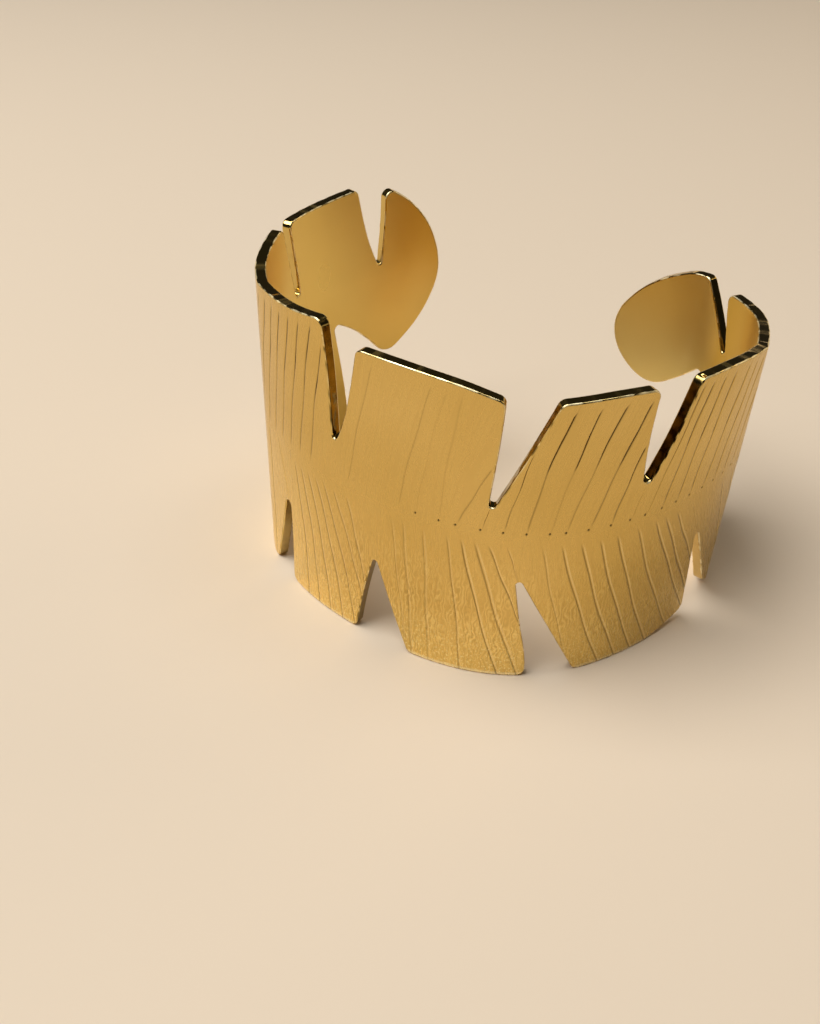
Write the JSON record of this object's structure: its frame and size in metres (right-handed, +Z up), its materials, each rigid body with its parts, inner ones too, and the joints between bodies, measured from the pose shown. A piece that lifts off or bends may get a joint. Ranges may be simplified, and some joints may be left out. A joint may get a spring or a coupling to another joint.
{
  "type": "cuff bracelet",
  "caption": "Open gold-coloured cuff bracelet cut as a long leaf with notched lobes, engraved veins and rounded ends, bent round an oval to hold on a wrist",
  "frame": {"origin": "centre of the cuff's box in plan, on the ground under its lowest lobes", "axes": "+X across the wrist along the oval's long axis, +Y towards the open side, +Z up"},
  "size_m": [0.0636, 0.0522, 0.0439],
  "materials": {
    "polished_gold": "gold-coloured polished brass: satin and finely engraved outside, smooth satin inside, bright polished cut edges"
  },
  "bodies": {
    "root": {"cuff_band": "polished_gold"}
  },
  "joints": []
}
